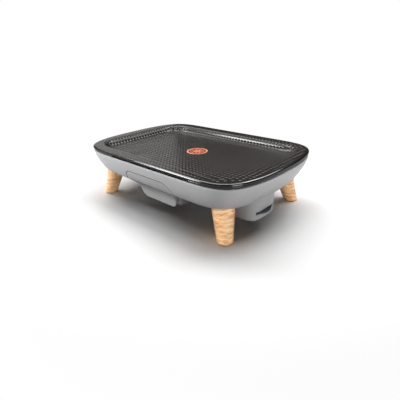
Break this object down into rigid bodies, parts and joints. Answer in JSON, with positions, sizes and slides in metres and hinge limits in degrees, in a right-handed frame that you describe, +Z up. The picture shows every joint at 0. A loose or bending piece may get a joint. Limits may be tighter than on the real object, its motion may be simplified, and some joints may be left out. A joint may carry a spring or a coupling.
{
  "type": "electric plancha",
  "caption": "Electric table plancha: dimpled griddle plate with a sunken well, moulded grey base on splayed beech legs, pull-out juice tray and a thermostat dial under one end.",
  "frame": {"origin": "on the floor, under the middle of the griddle plate", "axes": "+Z up; +X to the end with the thermostat dial; -Y to the side with the juice tray"},
  "size_m": [0.51, 0.3376, 0.1343],
  "materials": {
    "nonstick_black": "dark non-stick coating with a fine dimple pattern, satin",
    "bezel_black": "glossy black",
    "shell_grey": "satin mid grey",
    "dark_plastic": "matt near-black",
    "aluminised_sheet": "bright sheet",
    "element_steel": "dark oxidised steel",
    "bright_steel": "zinc-plated",
    "brass_pin": "plain brass",
    "ceramic_white": "off-white ceramic, unglazed",
    "beech": "clear-lacquered light beech",
    "pad_rubber": "matt black"
  },
  "bodies": {
    "base": {"plate_support_ring": "bezel_black", "base_shell": "shell_grey", "bottom_cover": "shell_grey", "reflector_tray": "aluminised_sheet", "heating_element": "element_steel", "terminal_insulator_front": "ceramic_white", "terminal_insulator_rear": "ceramic_white", "sensor_guide": "ceramic_white", "sensor_spring": "bright_steel", "sensor_lead": "bright_steel", "control_housing": "shell_grey", "thermostat_bracket": "bright_steel", "thermostat_body": "dark_plastic", "inlet_body": "dark_plastic", "inlet_pin_live": "brass_pin", "inlet_pin_earth": "brass_pin", "inlet_pin_neutral": "brass_pin", "tray_runner_left": "dark_plastic", "tray_runner_right": "dark_plastic", "juice_chute": "dark_plastic", "element_saddle_1": "bright_steel", "element_saddle_2": "bright_steel", "element_saddle_3": "bright_steel", "element_saddle_4": "bright_steel", "cover_screw_1": "bright_steel", "cover_screw_2": "bright_steel", "cover_screw_3": "bright_steel", "cover_screw_4": "bright_steel", "cover_screw_5": "bright_steel", "cover_screw_6": "bright_steel", "leg_front_left": "beech", "leg_stud_front_left": "bright_steel", "leg_nut_front_left": "bright_steel", "glide_pad_front_left": "pad_rubber", "leg_front_right": "beech", "leg_stud_front_right": "bright_steel", "leg_nut_front_right": "bright_steel", "glide_pad_front_right": "pad_rubber", "leg_rear_left": "beech", "leg_stud_rear_left": "bright_steel", "leg_nut_rear_left": "bright_steel", "glide_pad_rear_left": "pad_rubber", "leg_rear_right": "beech", "leg_stud_rear_right": "bright_steel", "leg_nut_rear_right": "bright_steel", "glide_pad_rear_right": "pad_rubber"},
    "plate": {"griddle_plate": "nonstick_black"},
    "juice_tray": {"juice_tray_front": "shell_grey", "juice_tray_bin": "shell_grey"},
    "dial": {"thermostat_dial": "dark_plastic", "dial_shaft": "bright_steel"},
    "sensor": {"sensor_capsule": "aluminised_sheet"}
  },
  "joints": [
    {"name": "plate_lift", "type": "slide", "parent": "base", "child": "plate", "axis": [0, 0, 1], "range_m": [0, 0.1]},
    {"name": "juice_tray_slide", "type": "slide", "parent": "base", "child": "juice_tray", "axis": [0, -1, 0], "range_m": [0, 0.09]},
    {"name": "dial_turn", "type": "hinge", "parent": "base", "child": "dial", "pos_m": [0.2105, -0.045, 0.05035], "axis": [0, 0, 1], "range_deg": [0, 270]},
    {"name": "sensor_press", "type": "slide", "parent": "base", "child": "sensor", "axis": [0, 0, 1], "range_m": [-0.0025, 0], "stiffness_N_per_m": 400, "springref_m": 0.0025, "deforming": ["sensor_spring"]}
  ]
}
